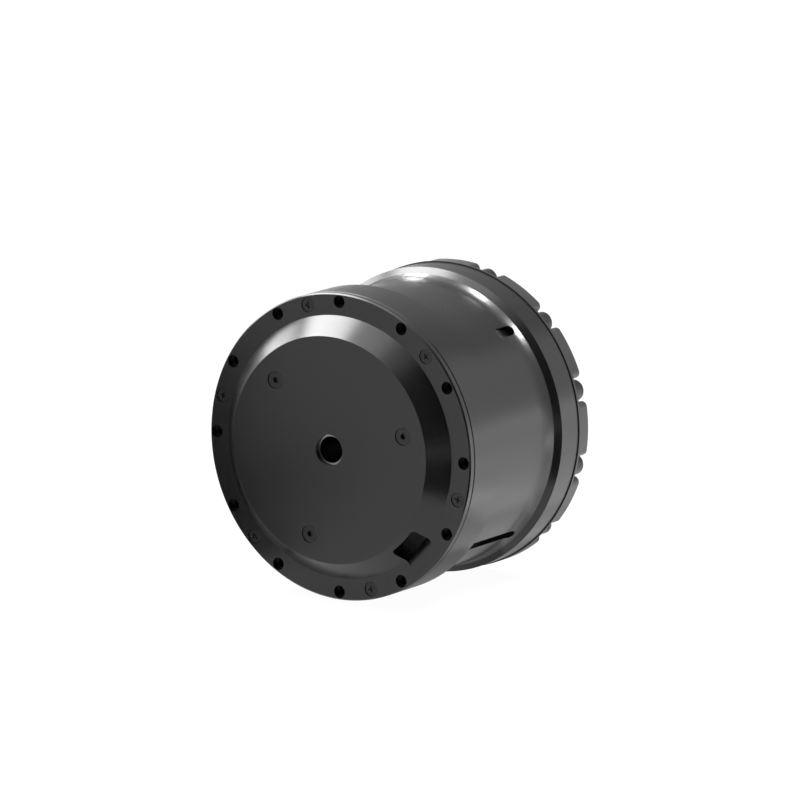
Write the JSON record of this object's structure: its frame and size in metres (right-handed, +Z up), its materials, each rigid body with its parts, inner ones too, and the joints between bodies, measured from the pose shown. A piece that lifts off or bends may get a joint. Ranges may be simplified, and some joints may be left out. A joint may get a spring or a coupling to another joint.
{
  "type": "robot joint actuator",
  "caption": "Round hollow-shaft robot joint actuator: a motor and strain wave gear in one black housing, with a mounting rim in front and a turning output flange behind.",
  "frame": {"origin": "centre of the mounting face, the flat rim of the end cover, on the joint axis", "axes": "+Y along the joint axis towards the turning output face, +Z up, the cable window in the cover at 135 degrees clockwise from +Z seen from the cover"},
  "size_m": [0.0708, 0.0536, 0.0708],
  "materials": {
    "black_anodised": "satin black anodised",
    "black_anodised_tube": "satin black anodised",
    "black_bearing_steel": "satin black",
    "black_steel": "black oxide",
    "bearing_steel": "ground",
    "gear_steel": "machined",
    "spring_steel": "phosphated",
    "lamination_steel": "stacked sheets",
    "plain_aluminium": "machined",
    "magnet_nickel": "nickel plated",
    "encoder_magnet": "matt",
    "copper_wire": "enamelled copper",
    "seal_rubber": "matt",
    "separator_plastic": "matt",
    "circuit_board": "solder mask",
    "chip_plastic": "moulded",
    "capacitor_can": "drawn",
    "connector_plastic": "moulded",
    "pillar_brass": "turned"
  },
  "bodies": {
    "housing": {"front_cover": "black_anodised", "cover_cross_screws": "black_steel", "cover_hex_screws": "black_steel", "cover_oring": "seal_rubber", "main_housing": "black_anodised", "bearing_outer_ring": "black_bearing_steel", "flange_screws": "black_steel", "output_seal": "seal_rubber", "circular_spline": "gear_steel", "circular_spline_screws": "black_steel", "stator_core": "lamination_steel", "stator_windings": "copper_wire", "front_bearing_outer": "bearing_steel", "rear_bearing_outer": "bearing_steel", "bearing_carrier": "plain_aluminium", "carrier_retaining_ring": "spring_steel", "motor_shaft_seal": "seal_rubber", "cover_pillars": "pillar_brass", "driver_board": "circuit_board", "board_pillars": "pillar_brass", "board_screws": "black_steel", "driver_mosfets": "chip_plastic", "driver_capacitors": "capacitor_can", "driver_processor": "chip_plastic", "cable_connector": "connector_plastic", "encoder_board": "circuit_board", "encoder_pillars": "pillar_brass", "encoder_screws": "black_steel"},
    "output": {"output_flange": "black_bearing_steel", "hollow_shaft": "black_anodised_tube", "hollow_shaft_screws": "black_steel", "flexspline": "gear_steel", "flexspline_clamp": "gear_steel", "flexspline_screws": "black_steel", "output_encoder_disc": "encoder_magnet"},
    "rotor": {"rotor_core": "lamination_steel", "rotor_magnets": "magnet_nickel", "rotor_shaft": "gear_steel", "front_bearing_inner": "bearing_steel", "rear_bearing_inner": "bearing_steel", "wave_generator_plug": "plain_aluminium", "plug_retaining_ring": "spring_steel", "wave_bearing_inner": "bearing_steel", "wave_bearing_outer": "bearing_steel", "wave_bearing_balls": "bearing_steel", "motor_encoder_disc": "encoder_magnet"},
    "motor_balls": {"front_bearing_balls": "bearing_steel", "rear_bearing_balls": "bearing_steel"},
    "roller_set": {"crossed_rollers": "bearing_steel", "roller_separators": "separator_plastic"}
  },
  "joints": [
    {"name": "motor_spin", "type": "hinge", "parent": "housing", "child": "rotor", "pos_m": [0, 0, 0], "axis": [0, 1, 0], "continuous": true},
    {"name": "output_turn", "type": "hinge", "parent": "housing", "child": "output", "pos_m": [0, 0, 0], "axis": [0, 1, 0], "continuous": true},
    {"name": "motor_balls_turn", "type": "hinge", "parent": "housing", "child": "motor_balls", "pos_m": [0, 0, 0], "axis": [0, 1, 0], "continuous": true},
    {"name": "rollers_turn", "type": "hinge", "parent": "housing", "child": "roller_set", "pos_m": [0, 0, 0], "axis": [0, 1, 0], "continuous": true}
  ],
  "couplings": [
    {"joint": "output_turn", "follows": "motor_spin", "ratio": -0.02},
    {"joint": "motor_balls_turn", "follows": "motor_spin", "ratio": 0.43333},
    {"joint": "rollers_turn", "follows": "motor_spin", "ratio": -0.00961}
  ]
}
